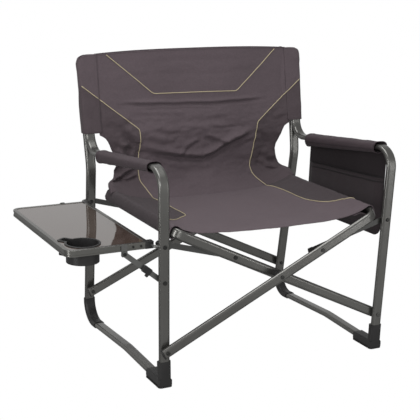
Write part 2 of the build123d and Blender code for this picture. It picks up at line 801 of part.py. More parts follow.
def arm_line(u, drop):
    return (u, arm_v + arm_slope * (u - arm_u) - drop)


def pocket_outline(top_drop, inset):
    """Outline of a pocket layer in the side plane, its front lower corner rounded."""
    low = pocket_low + inset
    start, stop = pocket_front + inset, pocket_rear - inset
    return [(stop, low), arm_line(stop, top_drop), arm_line(start, top_drop), (start, low + 6)]


def pocket_layer(n, thick, top_drop, inset=0.0):
    """A flat layer of the pocket, rounded at its front lower corner."""
    with BuildPart() as layer:
        with BuildSketch(right.offset(n)) as outline:
            with BuildLine():
                Polyline(*pocket_outline(top_drop, inset), close=True)
            make_face()
            fillet(outline.vertices().sort_by(Axis.Z)[:2].sort_by(Axis.Y)[0], 36 - inset)
        extrude(amount=thick)
    return layer


finish(pocket_layer(outer_n, pocket_wall, 4), "side_pocket_outer")
finish(pocket_layer(inner_n, pocket_wall, hem_drop), "side_pocket_inner")
with BuildPart() as pocket_edge:
    add(pocket_layer(inner_n + pocket_wall, outer_n - inner_n - pocket_wall, hem_drop).part)
    add(
        pocket_layer(inner_n, outer_n - inner_n, hem_drop - 10, pocket_wall).part,
        mode=Mode.SUBTRACT,
    )
finish(pocket_edge, "side_pocket_edge")
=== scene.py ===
"""Looks for the folding director chair: cloth, piping and materials round the CAD frame."""

import json
import math

import bmesh
import bpy
from mathutils import Matrix, Vector, noise


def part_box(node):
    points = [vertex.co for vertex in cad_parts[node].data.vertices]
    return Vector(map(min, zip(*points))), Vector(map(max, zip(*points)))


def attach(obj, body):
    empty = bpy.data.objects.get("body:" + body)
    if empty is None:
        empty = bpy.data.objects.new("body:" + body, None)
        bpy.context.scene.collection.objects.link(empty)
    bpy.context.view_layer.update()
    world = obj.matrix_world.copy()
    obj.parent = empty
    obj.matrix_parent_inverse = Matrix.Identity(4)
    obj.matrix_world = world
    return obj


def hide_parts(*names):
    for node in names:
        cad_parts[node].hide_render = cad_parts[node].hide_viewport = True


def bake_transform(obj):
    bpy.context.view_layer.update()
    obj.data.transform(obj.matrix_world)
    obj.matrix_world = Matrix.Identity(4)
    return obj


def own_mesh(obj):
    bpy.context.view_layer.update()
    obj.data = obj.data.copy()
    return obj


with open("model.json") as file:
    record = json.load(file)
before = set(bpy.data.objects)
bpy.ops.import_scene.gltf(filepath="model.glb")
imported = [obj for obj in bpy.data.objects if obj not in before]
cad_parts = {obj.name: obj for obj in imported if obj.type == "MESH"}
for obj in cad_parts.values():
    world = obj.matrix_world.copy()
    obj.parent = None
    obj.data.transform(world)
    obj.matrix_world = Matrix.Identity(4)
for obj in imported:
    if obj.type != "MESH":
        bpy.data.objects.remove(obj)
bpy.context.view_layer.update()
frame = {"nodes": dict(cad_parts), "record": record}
nodes = frame["nodes"]

# ---------------------------------------------------------------- the chair's own places
# Shapes below are in millimetres from the chair's plane of symmetry and its front feet.
MM = 0.001
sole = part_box("foot_sole_left")
arms = (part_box("arm_tube_left"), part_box("arm_tube_right"))
MID_X = (arms[0][0][0] + arms[1][1][0]) / 2
SOLE_MIDDLE_Y = 36.5               # middle of a front foot's sole
FRONT_Y = (sole[0][1] + sole[1][1]) / 2 - SOLE_MIDDLE_Y * MM

LEAN = math.radians(1.36)          # of the side frames, outwards
FOOT_HALF_SPAN = 356.5
POST_SLOPE = 0.186                 # of the back posts, backwards
POST_Y, POST_Z = 531.0, 631.0      # a point on a back post's middle line
ARM_SLOPE = -0.107                 # of the arm tubes, downwards to the back
ARM_Y, ARM_Z = 30.0, 626.0         # a point on an arm tube's middle line
SEAT_REAR = 460.0
SEAT_FRONT = (28.0, -1.0)          # of its slanting front edge, 400 to each side
SLEEVE_ENDS = (499.0, 480.0)       # rear ends of its left and right rail sleeves
SLEEVE_LOW, SLEEVE_TOP = 631.0, 869.0
SEAM_X = 341.0                     # where the back's sleeves are sewn to its panel
EDGE_Z = 800.0                     # above this the back's rows bend to its shaped top edge


def place(x, y, z):
    """A point of the chair, in the row frame, in metres."""
    return Vector((MID_X + x * MM, FRONT_Y + y * MM, z * MM))


def post_x(z):
    """Distance of a side frame from the chair's middle, at a height."""
    return FOOT_HALF_SPAN + z * math.tan(LEAN)


def post_y(z):
    return POST_Y + POST_SLOPE * (z - POST_Z)


def arm_z(y):
    return ARM_Z + ARM_SLOPE * (y - ARM_Y)


def mix(a, b, t):
    return a + (b - a) * t


def smooth(t):
    t = min(1.0, max(0.0, t))
    return t * t * (3 - 2 * t)


def along(table, value):
    """Straight-line interpolation in a short table of (value, result)."""
    if value <= table[0][0]:
        return table[0][1]
    for (v0, r0), (v1, r1) in zip(table, table[1:]):
        if value <= v1:
            return mix(r0, r1, (value - v0) / (v1 - v0))
    return table[-1][1]


def spline(points, count):
    """A Catmull-Rom curve through points, as count + 1 evenly parameterised points."""
    points = [Vector(p) for p in points]
    last = len(points) - 1
    out = []
    for i in range(count + 1):
        t = i / count * last
        k = min(int(t), last - 1)
        t -= k
        p0 = points[max(k - 1, 0)]
        p1, p2 = points[k], points[k + 1]
        p3 = points[min(k + 2, last)]
        out.append(
            0.5 * (2 * p1 + (p2 - p0) * t + (2 * p0 - 5 * p1 + 4 * p2 - p3) * t**2
                   + (3 * p1 - p0 - 3 * p2 + p3) * t**3)
        )
    return out


def even(points, count):
    """The same line in count + 1 evenly spaced points."""
    steps = [0.0]
    for a, b in zip(points, points[1:]):
        steps.append(steps[-1] + (b - a).length)
    out, k = [], 0
    for i in range(count + 1):
        want = steps[-1] * i / count
        while k < len(points) - 2 and steps[k + 1] < want:
            k += 1
        t = (want - steps[k]) / max(1e-9, steps[k + 1] - steps[k])
        out.append(points[k].lerp(points[k + 1], t))
    return out


# ---------------------------------------------------------------- mesh helpers
SLING, SLEEVE, PAD, POCKET = 1.6, 1.4, 2.0, 1.2     # thickness of each kind of cloth
NOWHERE = -50.0                    # a distance for cloth with no side panel or no stitched hem


def new_object(name, mesh):
    obj = bpy.data.objects.new(name, mesh)
    bpy.context.scene.collection.objects.link(obj)
    for face in mesh.polygons:
        face.use_smooth = True
    return obj


def cloth(name, rows, shade=None, hem=None):
    """A sheet through rows of points in millimetres, with its UVs in metres along the cloth.

    shade(point) is the distance into a darker side panel, and hem(point) the distance from a
    stitched edge. Both go into attributes that the fabric materials read."""
    mesh = bpy.data.meshes.new(name)
    wide, high = len(rows[0]), len(rows)
    points = [place(*p) for row in rows for p in row]
    faces = [
        (i * wide + j, i * wide + j + 1, (i + 1) * wide + j + 1, (i + 1) * wide + j)
        for i in range(high - 1)
        for j in range(wide - 1)
    ]
    mesh.from_pydata([tuple(p) for p in points], [], faces)
    mesh.update()
    middle, half = high // 2, wide // 2
    across = [0.0]
    for a, b in zip(rows[middle], rows[middle][1:]):
        across.append(across[-1] + (Vector(b) - Vector(a)).length * MM)
    up = [0.0]
    for a, b in zip(rows, rows[1:]):
        up.append(up[-1] + (Vector(b[half]) - Vector(a[half])).length * MM)
    layer = mesh.uv_layers.new(name="cloth")
    for loop in mesh.loops:
        i, j = divmod(loop.vertex_index, wide)
        layer.data[loop.index].uv = (across[j], up[i])
    for label, function in (("shade", shade), ("hem", hem)):
        data = mesh.attributes.new(label, "FLOAT", "POINT").data
        for k in range(len(points)):
            i, j = divmod(k, wide)
            data[k].value = function(rows[i][j]) if function else NOWHERE
    return new_object(name, mesh)


def thicken(obj, thickness, offset=-1.0):
    """Gives a sheet its thickness for good, with its rim."""
    solid = obj.modifiers.new("thickness", "SOLIDIFY")
    solid.thickness = thickness * MM
    solid.offset = offset
    solid.use_rim = True
    apply_all(obj)
    for face in obj.data.polygons:
        face.use_smooth = True


def apply_all(obj):
    """Replaces the mesh by what its modifiers make of it."""
    graph = bpy.context.evaluated_depsgraph_get()
    mesh = bpy.data.meshes.new_from_object(
        obj.evaluated_get(graph), preserve_all_data_layers=True, depsgraph=graph
    )
    obj.modifiers.clear()
    obj.data = mesh


def tube(name, points, radius, sides=8):
    """A round cord along points in millimetres, with closed ends: piping, hems, binding."""
    line = [place(*p) for p in points]
    mesh = bpy.data.meshes.new(name)
    bm = bmesh.new()
    rings = []
    normal = None
    for k, p in enumerate(line):
        ahead = (line[min(k + 1, len(line) - 1)] - line[max(k - 1, 0)]).normalized()
        if normal is None:
            normal = ahead.orthogonal().normalized()
        normal = (normal - ahead * normal.dot(ahead)).normalized()
        side = ahead.cross(normal)
        rings.append([
            bm.verts.new(p + radius * MM * (normal * math.cos(a) + side * math.sin(a)))
            for a in (2 * math.pi * s / sides for s in range(sides))
        ])
    for a, b in zip(rings, rings[1:]):
        for s in range(sides):
            bm.faces.new((a[s], a[(s + 1) % sides], b[(s + 1) % sides], b[s]))
    bm.faces.new(rings[0][::-1])
    bm.faces.new(rings[-1])
    bmesh.ops.recalc_face_normals(bm, faces=bm.faces)
    bm.to_mesh(mesh)
    bm.free()
    return new_object(name, mesh)


# ---------------------------------------------------------------- materials
def material(name, base, rough, metal=0.0):
    made = bpy.data.materials.new(name)
    made.use_nodes = True
    shader = made.node_tree.nodes["Principled BSDF"]
    shader.inputs["Base Color"].default_value = (*base, 1)
    shader.inputs["Roughness"].default_value = rough
    shader.inputs["Metallic"].default_value = metal
    return made, made.node_tree, shader


class Net:
    """Short calls to add and join shader nodes."""

    def __init__(self, tree):
        self.tree = tree

    def node(self, kind, **settings):
        made = self.tree.nodes.new(kind)
        for key, value in settings.items():
            if hasattr(made, key):
                setattr(made, key, value)
            else:
                made.inputs[key.replace("_", " ")].default_value = value
        return made

    def link(self, out, into):
        self.tree.links.new(out, into)

    def coordinates(self):
        return self.node("ShaderNodeTexCoord").outputs["Object"]

    def math(self, operation, a, b=None):
        made = self.tree.nodes.new("ShaderNodeMath")
        made.operation = operation
        for socket, value in zip(made.inputs, (a, b)):
            if value is None:
                continue
            if isinstance(value, (int, float)):
                socket.default_value = value
            else:
                self.link(value, socket)
        return made.outputs[0]

    def noise(self, scale, detail=3.0, vector=None, rough=0.5):
        made = self.tree.nodes.new("ShaderNodeTexNoise")
        made.inputs["Scale"].default_value = scale
        made.inputs["Detail"].default_value = detail
        made.inputs["Roughness"].default_value = rough
        if vector is not None:
            self.link(vector, made.inputs["Vector"])
        return made.outputs["Fac"]

    def range(self, value, low, high, to_low, to_high):
        made = self.tree.nodes.new("ShaderNodeMapRange")
        for socket, number in zip(made.inputs[1:5], (low, high, to_low, to_high)):
            socket.default_value = number
        self.link(value, made.inputs[0])
        return made.outputs[0]

    def mix(self, fac, a, b, blend="MIX"):
        made = self.tree.nodes.new("ShaderNodeMix")
        made.data_type = "RGBA"
        made.blend_type = blend
        for socket, value in ((made.inputs[0], fac), (made.inputs[6], a), (made.inputs[7], b)):
            if isinstance(value, (int, float)):
                socket.default_value = value
            elif isinstance(value, tuple):
                socket.default_value = (*value, 1)
            else:
                self.link(value, socket)
        return made.outputs[2]

    def times(self, colour, factor):
        """A colour times a number from the net."""
        grey = self.node("ShaderNodeCombineColor")
        for socket in grey.inputs[:3]:
            self.link(factor, socket)
        return self.mix(1.0, colour, grey.outputs[0], "MULTIPLY")

    def bump(self, height, strength, distance, normal=None):
        made = self.tree.nodes.new("ShaderNodeBump")
        made.inputs["Strength"].default_value = strength
        made.inputs["Distance"].default_value = distance
        self.link(height, made.inputs["Height"])
        if normal is not None:
            self.link(normal, made.inputs["Normal"])
        return made.outputs["Normal"]


THREAD = 1.1                       # spacing of the weave, in millimetres
STITCH_IN, STITCH_HALF = 6.0, 0.55 # a row of stitches: how far inside a hem, and half its width
STITCHES, STITCH_SHARE = 260, 0.7  # stitches in a metre, and the share of each that shows


def fabric(name, main, side):
    """Plain-weave polyester: threads over and under, slubs, and a darker side panel."""
    made, tree, shader = material(name, main, 0.82)
    net = Net(tree)
    uv = net.node("ShaderNodeUVMap", uv_map="cloth")
    split = net.node("ShaderNodeSeparateXYZ")
    net.link(uv.outputs[0], split.inputs[0])
    turn = math.pi / (THREAD * MM)
    warp = net.math("ABSOLUTE", net.math("SINE", net.math("MULTIPLY", split.outputs[0], turn)))
    weft = net.math("ABSOLUTE", net.math("SINE", net.math("MULTIPLY", split.outputs[1], turn)))
    weave = net.math("MULTIPLY", warp, weft)
    spot = net.coordinates()
    slub = net.noise(160, 4, spot, 0.65)
    broad = net.noise(5, 3, spot)
    shade = net.node("ShaderNodeAttribute", attribute_name="shade").outputs["Fac"]
    dark = net.range(shade, -0.8, 0.8, 0, 1)
    colour = net.mix(dark, main, side)
    threads = net.math("ADD", net.math("MULTIPLY", weave, 0.25), slub)
    lift = net.range(threads, 0.3, 0.95, 0.86, 1.16)
    spread = net.math("MULTIPLY", lift, net.range(broad, 0.3, 0.7, 0.93, 1.06))
    colour = net.times(colour, spread)
    hem = net.node("ShaderNodeAttribute", attribute_name="hem").outputs["Fac"]
    off_row = net.math("ABSOLUTE", net.math("SUBTRACT", hem, STITCH_IN))
    length = net.math("ADD", split.outputs[0], split.outputs[1])
    step = net.math("FRACT", net.math("MULTIPLY", length, STITCHES))
    stitch = net.math("MULTIPLY", net.math("LESS_THAN", off_row, STITCH_HALF),
                      net.math("LESS_THAN", step, STITCH_SHARE))
    colour = net.mix(stitch, colour, tuple(c * 0.45 for c in main))
    net.link(colour, shader.inputs["Base Color"])
    net.link(net.range(slub, 0.3, 0.7, 0.76, 0.9), shader.inputs["Roughness"])
    shader.inputs["Specular IOR Level"].default_value = 0.22
    shader.inputs["Sheen Weight"].default_value = 0.06
    shader.inputs["Sheen Roughness"].default_value = 0.5
    height = net.math("ADD", weave, net.math("MULTIPLY", stitch, 1.5))
    normal = net.bump(height, 0.5, 0.0004)
    net.link(net.bump(net.noise(22, 4, spot), 0.22, 0.004, normal), shader.inputs["Normal"])
    return made


def powder_coat(name, base, rough=0.36, metal=0.75, flecks=900, worn=(0.16, 0.16, 0.15)):
    """Metallic paint: fine flecks, patches of tone, and places rubbed paler by handling."""
    made, tree, shader = material(name, base, rough, metal)
    net = Net(tree)
    spot = net.coordinates()
    fleck = net.noise(flecks, 2, spot)
    cloud = net.noise(14, 4, spot)
    tone = net.math("MULTIPLY", net.range(fleck, 0.3, 0.7, 0.88, 1.14),
                    net.range(cloud, 0.3, 0.7, 0.93, 1.07))
    colour = net.times(base, tone)
    handled = net.noise(3, 2, spot)
    rub = net.range(handled, 0.5, 0.75, 0, 0.5)
    net.link(net.mix(rub, colour, worn), shader.inputs["Base Color"])
    net.link(net.range(handled, 0.3, 0.7, rough - 0.02, rough + 0.05), shader.inputs["Roughness"])
    shader.inputs["Coat Weight"].default_value = 0.25
    shader.inputs["Coat Roughness"].default_value = 0.25
    return made


def moulded(name, base, rough=0.5, grain=1500):
    """Moulded plastic or rubber with a fine grain and dusty patches."""
    made, tree, shader = material(name, base, rough)
    shader.inputs["Specular IOR Level"].default_value = 0.3
    net = Net(tree)
    spot = net.coordinates()
    cloud = net.noise(18, 4, spot)
    dusty = tuple(c * 1.6 + 0.008 for c in base)
    colour = net.mix(net.range(cloud, 0.35, 0.75, 0, 0.7), base, dusty)
    net.link(colour, shader.inputs["Base Color"])
    net.link(net.range(cloud, 0.3, 0.7, rough - 0.08, rough + 0.1), shader.inputs["Roughness"])
    net.link(net.bump(net.noise(grain, 3, spot), 0.22, 0.0004), shader.inputs["Normal"])
    return made


def table_gloss(name, base):
    """Lacquered board: clear gloss over a fine brown-grey figure, with faint handling marks."""
    made, tree, shader = material(name, base, 0.1)
    net = Net(tree)
    spot = net.coordinates()
    fine = net.noise(700, 3, spot)
    cloud = net.noise(7, 4, spot)
    darker = tuple(c * 0.7 for c in base)
    colour = net.mix(net.range(fine, 0.35, 0.65, 0, 0.6), base, darker)
    net.link(colour, shader.inputs["Base Color"])
    net.link(net.range(cloud, 0.35, 0.75, 0.035, 0.11), shader.inputs["Roughness"])
    shader.inputs["Coat Weight"].default_value = 0.6
    shader.inputs["Coat Roughness"].default_value = 0.03
    net.link(net.bump(net.noise(60, 2, spot), 0.03, 0.0006), shader.inputs["Normal"])
    return made


def yarn(name, base):
    """Piping: a cord covered in tightly woven tape."""
    made, tree, shader = material(name, base, 0.75)
    net = Net(tree)
    spot = net.coordinates()
    rib = net.noise(900, 2, spot)
    darker = tuple(c * 0.72 for c in base)
    net.link(net.mix(net.range(rib, 0.35, 0.65, 0, 1), base, darker), shader.inputs["Base Color"])
    net.link(net.bump(rib, 0.3, 0.0004), shader.inputs["Normal"])
    return made


mats = {
    # main_fabric and the seat's copy below are one sling cloth. The seat's copy has painted light,
    # a lighter main colour, and painted shade, side panels much darker than the back's.
    "main_fabric": fabric("main_fabric", (0.093, 0.072, 0.081), (0.070, 0.054, 0.060)),
    "seat_fabric": fabric("seat_fabric", (0.104, 0.080, 0.090), (0.052, 0.041, 0.045)),
    "trim_fabric": fabric("trim_fabric", (0.022, 0.017, 0.019), (0.016, 0.013, 0.014)),
    "pocket_fabric": fabric("pocket_fabric", (0.034, 0.026, 0.029), (0.026, 0.020, 0.022)),
    "hem_tape": yarn("hem_tape", (0.006, 0.005, 0.0055)),
    "pad_fabric": fabric("pad_fabric", (0.052, 0.037, 0.043), (0.034, 0.027, 0.030)),
    "frame_tube": powder_coat("frame_tube", (0.120, 0.118, 0.111), rough=0.25,
                              worn=(0.15, 0.15, 0.14)),
    "link_strip": powder_coat("link_strip", (0.07, 0.07, 0.067), rough=0.42),
    "bracket_steel": powder_coat("bracket_steel", (0.13, 0.13, 0.125), rough=0.4),
    "table_trim": powder_coat("table_trim", (0.14, 0.138, 0.128), rough=0.33, metal=0.85),
    "rivet": powder_coat("rivet", (0.022, 0.022, 0.021), rough=0.38, metal=0.8, flecks=2500),
    "moulded_plastic": moulded("moulded_plastic", (0.018, 0.0175, 0.0175), 0.42),
    "spacer": moulded("spacer", (0.016, 0.016, 0.016), 0.5),
    "foot_rubber": moulded("foot_rubber", (0.02, 0.0195, 0.0195), 0.75, grain=900),
    "table_panel": table_gloss("table_panel", (0.072, 0.050, 0.039)),
    "piping": yarn("piping", (0.50, 0.43, 0.27)),
}


def dress(obj, name):
    obj.data.materials.clear()
    obj.data.materials.append(mats[name])


slots = {s["node"]: s["material_slot"] for s in frame["record"]["subparts"]}
for node, obj in nodes.items():
    if slots[node] in mats:
        dress(obj, slots[node])

# ---------------------------------------------------------------- the back's shape
BACK_LINE = [
    (456, 418), (481, 436), (506, 464), (521, 498), (526, 540), (521.5, 588),
    (523, 634), (530.5, 676), (546, 760), (566.5, 870), (568, 879),
]
BACK_LOW, BACK_TOP = BACK_LINE[0][1], BACK_LINE[-1][1]
back_curve = even(spline([(y, z, 0) for y, z in BACK_LINE], 400), 400)


def back_y(z):
    """Depth of the sling's front face at a height, on the chair's middle."""
    low, high = 0, len(back_curve) - 1
    while high - low > 1:
        half = (low + high) // 2
        if back_curve[half][1] < z:
            low = half
        else:
            high = half
    a, b = back_curve[low], back_curve[high]
    return mix(a[0], b[0], min(1.0, max(0.0, (z - a[1]) / max(1e-6, b[1] - a[1]))))


# Creases in the back: where they run (x, z), how deep, how wide, and the ridge beside them
CREASES = [
    ([(-270, 711), (-150, 705), (0, 700), (140, 701), (250, 703)], 6.0, 6, 0.8),
    ([(-190, 690), (-60, 689), (60, 684)], 2.0, 6, 0.5),
    ([(-268, 640), (-238, 600), (-250, 550), (-262, 500)], 8.0, 14, 0.9),
    ([(-306, 462), (-262, 488), (-222, 506)], 8.0, 9, 0.9),
    ([(-298, 500), (-262, 522), (-228, 526)], 6.0, 9, 0.9),
    ([(-190, 562), (-60, 527), (20, 520), (95, 548), (160, 575), (190, 592)], 11.0, 12, 0.9),
    ([(-60, 527), (-30, 560), (10, 585)], 4.0, 9, 0.8),
    ([(20, 596), (70, 574), (110, 556)], 5.0, 9, 0.8),
    ([(-225, 566), (-180, 556), (-120, 540)], 3.0, 10, 0.6),
    ([(118, 540), (170, 556), (205, 572)], 3.0, 11, 0.6),
    ([(205, 600), (240, 575), (262, 540)], 3.2, 12, 0.5),
    ([(225, 520), (255, 500), (290, 492)], 4.5, 12, 0.8),
    ([(215, 500), (250, 470), (290, 452)], 5.0, 13, 0.8),
    ([(-288, 590), (-262, 575), (-228, 578)], 4.5, 9, 0.7),
    ([(-288, 556), (-258, 540), (-220, 545)], 5.0, 9, 0.7),
    ([(-296, 484), (-255, 470), (-216, 480)], 6.0, 9, 0.7),
    ([(-320, 650), (-280, 640), (-225, 655)], 2.0, 14, 0.5),
    ([(240, 640), (290, 632), (330, 640)], 2.0, 14, 0.5),
    ([(-200, 655), (-90, 640), (30, 648), (150, 640)], 1.6, 16, 0.5),
    ([(-300, 790), (-120, 800), (60, 796), (260, 802)], 0.8, 12, 0.3),
    ([(-180, 838), (0, 842), (190, 836)], 0.7, 12, 0.3),
    ([(-250, 676), (-120, 668), (-40, 664)], 1.2, 8, 0.6),
    ([(20, 650), (100, 655), (180, 664)], 1.2, 9, 0.6),
    ([(-160, 622), (-110, 612), (-50, 616)], 2.0, 9, 0.7),
    ([(40, 628), (90, 618), (150, 622)], 1.8, 9, 0.7),
    ([(-190, 598), (-130, 582), (-70, 588)], 2.6, 10, 0.7),
    ([(-110, 500), (-30, 486), (60, 492)], 2.0, 14, 0.5),
    ([(-328, 868), (-331, 760), (-330, 650)], 1.6, 7, 0.4),
    ([(322, 868), (325, 760), (326, 650)], 1.6, 7, 0.4),
]


def from_line(points, x, z):
    """Distance of a point from an open line, positive above it, and how far along the line its
    nearest place is, from 0 to 1."""
    best, side, where = 1e9, 1.0, 0.0
    total = len(points) - 1
    for k, ((x0, z0), (x1, z1)) in enumerate(zip(points, points[1:])):
        dx, dz = x1 - x0, z1 - z0
        t = min(1.0, max(0.0, ((x - x0) * dx + (z - z0) * dz) / (dx * dx + dz * dz)))
        off_x, off_z = x - x0 - dx * t, z - z0 - dz * t
        away = math.hypot(off_x, off_z)
        if away < best:
            best = away
            above = off_z * abs(dx) - off_x * dz * math.copysign(1, dx)
            side = 1.0 if above > 0 else -1.0
            where = (k + t) / total
    return best * side, where


def ripple(x, z, size, seed):
    return noise.noise(Vector((x / size, z / size, seed)))


def crease(x, z):
    """How far the cloth stands out towards the sitter because of its creases."""
    out = 0.0
    # The lines wander, more in the loose lower part
    wander = 1 - 0.6 * smooth((z - 600) / 90)
    aside = 12 * ripple(x, z, 90, 14.0)
    up = wander * (9 * ripple(x, z, 105, 15.0) + 2 * ripple(x, z, 24, 16.0))
    x, z = x + aside, z + up
    for points, depth, width, ridge in CREASES:
        away, where = from_line(points, x, z)
        if abs(away) > 4 * width:      # too far away to matter
            continue
        fade = smooth(min(where, 1 - where) * 5 + 0.15) * (1.3 - 0.3 * smooth((z - 600) / 60))
        out -= depth * fade * math.exp(-((away / width) ** 2) * 1.6)
        out += depth * ridge * fade * math.exp(-(((away - 1.5 * width) / width) ** 2))
    return out


def back_front(x, z):
    """The back panel's front surface: its hang, its creases and its small ripples."""
    middle = 1 - smooth((abs(x) - 250) / 90)
    hollow = 6.0 * (1 - (min(abs(x), 340) / 340) ** 2) * smooth((z - 600) / 120)
    loose = 1 - smooth((z - 640) / 90)
    y = back_y(z) + hollow
    y -= crease(x, z)
    calm = smooth((876 - z) / 60)
    y -= calm * (1.2 + 3.4 * loose) * ripple(x, z * 1.7, 75, 3.1) * (0.35 + 0.65 * middle)
    y -= calm * (0.5 + 1.5 * loose) * ripple(x, z * 2.0, 30, 9.7)
    y -= calm * (0.15 + 0.9 * loose) * ripple(x + z * 0.4, z * 1.8, 15, 21.0)
    return y


def seat_sag(x):
    """Height of the seat cloth across the chair."""
    return along([(0, 418.5), (80, 419.2), (160, 422), (250, 431.5), (285, 441.5), (300, 449.5),
                  (311, 456.5), (318, 458.6), (327, 457.5), (334, 449)], abs(x))


TOP_CORNER_X, TOP_CORNER = 376.0, 18.0     # start and radius of the top edge's corners


def top_z(x):
    """Height of the back's top edge: lower towards the posts, with rounded corners."""
    past = min(TOP_CORNER, max(0.0, abs(x) - TOP_CORNER_X))
    corner = TOP_CORNER - math.sqrt(TOP_CORNER**2 - past * past)
    return 878 - 8 * (abs(x) / 340) ** 3 - corner


def half_width(z):
    """Half the sling's width at a height: narrow where it is cut out for the arms."""
    return along([(418, 334), (440, 330), (455, 324), (472, 313), (490, 300), (510, 292),
                  (538, 289), (560, 295), (575, 303), (590, 309), (602, 315), (612, 322),
                  (619, 331), (624, 342), (630, 352)], z)


# Side lines of piping, which also part the darker side panels from the main one
LEFT_LINE = [
    (-394, 779), (-300, 706), (-207, 634), (-206, 586), (-213, 503), (-212, 470), (-200, 446),
    (-190, 420),
]
RIGHT_LINE = [
    (388, 765), (303, 699), (218, 633), (211, 583), (200, 526), (189, 490), (191, 462), (205, 440),
    (222, 420),
]
# The line of piping under the top edge
V_LINE = [(-301, 866), (-225, 804), (-150, 741), (0, 739), (149, 736), (224, 800), (298, 866)]
BESIDE = -5.0                      # a distance that is on the main panel


def beside_panel(x, z):
    """Distance into the darker side panels, in millimetres; negative on the main panel."""
    line = LEFT_LINE if x < 0 else RIGHT_LINE
    if z > max(p[1] for p in line):
        return BESIDE
    edge = along(sorted((b, a) for a, b in line), z)
    away, _ = from_line(line, x, z)
    return math.copysign(abs(away), abs(x) - abs(edge))


# ---------------------------------------------------------------- the sling's back
ROWS, COLUMNS = 150, 150


def bottom_lift(x, z):
    """The lowest rows of the back follow the seat's sag, where the two are one cloth."""
    return (seat_sag(x) - seat_sag(0)) * (1 - smooth((z - BACK_LOW - 1) / 75))


panel_rows = []
for _, level, _ in even(back_curve, ROWS):
    half = min(half_width(level), SEAM_X)
    row = []
    for j in range(COLUMNS + 1):
        x = (2 * j / COLUMNS - 1) * half
        z = level
        if level > EDGE_Z:
            z = EDGE_Z + (level - EDGE_Z) * (top_z(x) - EDGE_Z) / (BACK_TOP - EDGE_Z)
        row.append((x, back_front(x, level), z + bottom_lift(x, level)))
    panel_rows.append(row)


def back_shade(p):
    return beside_panel(p[0], p[2])


def panel_hem(p):
    if p[2] > EDGE_Z:
        return top_z(p[0]) - p[2]
    if p[2] < 640:
        return half_width(p[2]) - abs(p[0])
    return SEAM_X - 1 - abs(p[0])


panel = cloth("back_panel", panel_rows, back_shade, panel_hem)
thicken(panel, SLING)
dress(panel, "main_fabric")

SLEEVE_ROWS, SLEEVE_COLUMNS = 60, 44
TURNED = 1.017                     # a leaning post's depth in Y, over its true depth
POST_FACE = 11.2                   # from a post's middle line to the cloth's face over it


def sleeve_hem(p):
    if p[2] < 700:
        return p[2] - SLEEVE_LOW
    return top_z(p[0]) - p[2] + 2


sleeves = []
for side in (-1, 1):
    rows = []
    for k in range(SLEEVE_ROWS + 1):
        z = SLEEVE_LOW + (SLEEVE_TOP - SLEEVE_LOW) * k / SLEEVE_ROWS
        px = post_x(z)
        # Wide open behind the post near its bend, closer higher up, and shut at the top
        deep = mix(27.0, 11.0, smooth((z - 705) / 60))
        shut = smooth((z - (SLEEVE_TOP - 5)) / 5)
        deep = mix(deep, -6.0, shut)
        limp = 1.5 * ripple(side * 40, z, 46, 5.5)
        # Across: from the panel's seam, over the post, round its outside and back behind it
        path = [
            (SEAM_X - 6 - px, -8.6), (SEAM_X + 4 - px, -9.6), (-12, -10.2),
            (4, -10.4 - 0.3 * limp), (14, -8.9), (19.0, -3.5), (19.6 + 0.4 * limp, 0.4 * deep),
            (17.5, 0.8 * deep), (8, deep + 0.4 + limp), (-8, deep * 0.86),
            (-22, mix(-6.0, deep, 0.25)), (-38, -7.0),
        ]
        row = []
        for n, t, _ in even(spline([(n, t, 0) for n, t in path], 66), SLEEVE_COLUMNS):
            x = side * (px + n)
            drop = SLEEVE_TOP - top_z(x) if z > EDGE_Z else 0
            here = z - drop * smooth((z - EDGE_Z) / (SLEEVE_TOP - EDGE_Z))
            bulge = 1.6 * ripple(n * 0.4, z, 33, 2 + side) * smooth((n + 30) / 20)
            row.append((x, post_y(z) + t * TURNED - bulge + POST_SLOPE * (here - z), here))
        rows.append(row)

    name = "back_sleeve_left" if side < 0 else "back_sleeve_right"
    sleeve = cloth(name, rows, back_shade, sleeve_hem)
    thicken(sleeve, SLEEVE, offset=side)
    dress(sleeve, "main_fabric")
    sleeves.append(sleeve)

PIPE = 1.25                        # radius of the piping
PIPE_LIFT, PIPE_STEP = 0.6, 4.0    # its middle above the back's face, and its steps


def sleeve_front(x, z):
    outside = smooth((abs(x) - post_x(z) - 8) / 12)
    return post_y(z) - POST_FACE * TURNED + 9 * outside**2


def on_back(line):
    """A line of piping laid on the back, in short steps."""
    out = []
    for (x0, z0), (x1, z1) in zip(line, line[1:]):
        count = max(1, int(math.hypot(x1 - x0, z1 - z0) / PIPE_STEP))
        out += [(mix(x0, x1, k / count), mix(z0, z1, k / count)) for k in range(count)]
    out.append(line[-1])
    # The sewn line turns its corners on a small radius
    for _ in range(4):
        out = [out[0]] + [
            ((a[0] + 2 * b[0] + c[0]) / 4, (a[1] + 2 * b[1] + c[1]) / 4)
            for a, b, c in zip(out, out[1:], out[2:])
        ] + [out[-1]]
    return [
        (x, (back_front if abs(x) < SEAM_X else sleeve_front)(x, z) - PIPE_LIFT,
         z + bottom_lift(x, z))
        for x, z in out
    ]


def piping(name, points):
    pipe = tube(name, points, PIPE)
    dress(pipe, "piping")
    return pipe


# Where the side lines pass from the panel to its sleeves
LEFT_SEAM, RIGHT_SEAM = (-SEAM_X, 738), (SEAM_X, 729)
pipes_on_panel = [
    ("back_piping_top", on_back(V_LINE)),
    ("back_piping_left", on_back([LEFT_SEAM] + LEFT_LINE[1:])),
    ("back_piping_right", on_back([RIGHT_SEAM] + RIGHT_LINE[1:])),
]
panel_pieces = [panel] + [piping(name, points) for name, points in pipes_on_panel]
sleeve_pipes = [
    piping("sleeve_piping_left", on_back([LEFT_LINE[0], (-SEAM_X - 0.5, 738)])),
    piping("sleeve_piping_right", on_back([RIGHT_LINE[0], (SEAM_X + 0.5, 729)])),
]


# ---------------------------------------------------------------- the seat
def seat_front_y(x):
    return mix(SEAT_FRONT[0], SEAT_FRONT[1], (x + 400) / 800)


